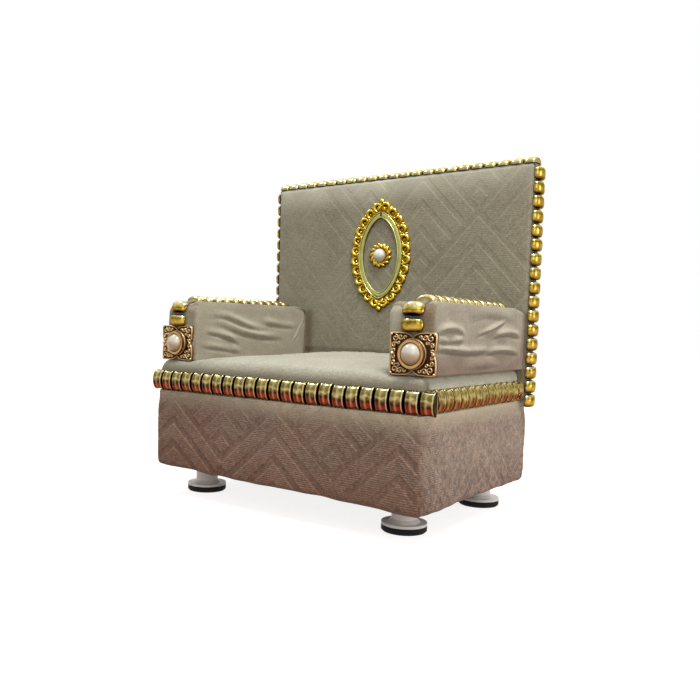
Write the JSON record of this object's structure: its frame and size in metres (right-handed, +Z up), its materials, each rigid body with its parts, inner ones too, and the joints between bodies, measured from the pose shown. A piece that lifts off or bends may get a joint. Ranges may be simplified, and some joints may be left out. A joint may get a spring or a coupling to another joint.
{
  "type": "deity throne",
  "caption": "Small padded throne for a household shrine figure, with arms, an upright back, beaded gold trim, brooches and round feet.",
  "frame": {"origin": "on the floor, under the middle of the throne's outer box", "axes": "+Z up, -Y the way the throne faces, +X the seated figure's left"},
  "size_m": [0.19, 0.13, 0.1992],
  "materials": {
    "taupe_fabric": "ribbed chenille weave with raised chevron bands, matte",
    "lining_cloth": "plain cotton weave, matte",
    "dark_ribbon": "woven ribbon, matte",
    "gold_bead": "metallised gold, glossy",
    "bright_gold": "bright gold plate, glossy",
    "antique_gold": "antiqued gold plate, worn on the high spots",
    "pearl": "imitation pearl, soft lustre",
    "white_plastic": "moulded, satin",
    "black_rubber": "moulded, matte",
    "plywood": "sanded, unfinished",
    "steel": "zinc plated"
  },
  "bodies": {
    "root": {"arm_screws": "steel", "back_board": "plywood", "back_cover": "taupe_fabric", "back_left_bead_tape": "dark_ribbon", "back_left_beads": "gold_bead", "back_lining": "lining_cloth", "back_right_bead_tape": "dark_ribbon", "back_right_beads": "gold_bead", "back_screws": "steel", "back_top_bead_tape": "dark_ribbon", "back_top_beads": "gold_bead", "base_bottom_board": "plywood", "base_cover": "taupe_fabric", "base_front_board": "plywood", "base_left_board": "plywood", "base_rear_board": "plywood", "base_right_board": "plywood", "base_top_board": "plywood", "bottom_lining": "lining_cloth", "corner_glue_blocks": "plywood", "foot_front_left": "white_plastic", "foot_front_right": "white_plastic", "foot_rear_left": "white_plastic", "foot_rear_right": "white_plastic", "foot_screws": "steel", "front_bead_tape": "dark_ribbon", "front_beads": "gold_bead", "left_arm_bead_tape": "dark_ribbon", "left_arm_bend_bead": "gold_bead", "left_arm_core": "plywood", "left_arm_cover": "taupe_fabric", "left_arm_front_bead": "gold_bead", "left_arm_pearl": "pearl", "left_arm_top_beads": "gold_bead", "left_pearl_bezel": "antique_gold", "left_side_bead_tape": "dark_ribbon", "left_side_beads": "gold_bead", "left_square_brooch": "antique_gold", "oval_brooch_frame": "bright_gold", "right_arm_bead_tape": "dark_ribbon", "right_arm_bend_bead": "gold_bead", "right_arm_core": "plywood", "right_arm_cover": "taupe_fabric", "right_arm_front_bead": "gold_bead", "right_arm_pearl": "pearl", "right_arm_top_beads": "gold_bead", "right_pearl_bezel": "antique_gold", "right_side_bead_tape": "dark_ribbon", "right_side_beads": "gold_bead", "right_square_brooch": "antique_gold", "rosette": "bright_gold", "rosette_pearl": "pearl", "rubber_pad_front_left": "black_rubber", "rubber_pad_front_right": "black_rubber", "rubber_pad_rear_left": "black_rubber", "rubber_pad_rear_right": "black_rubber", "seat_board": "plywood", "seat_cushion": "taupe_fabric"}
  },
  "joints": []
}
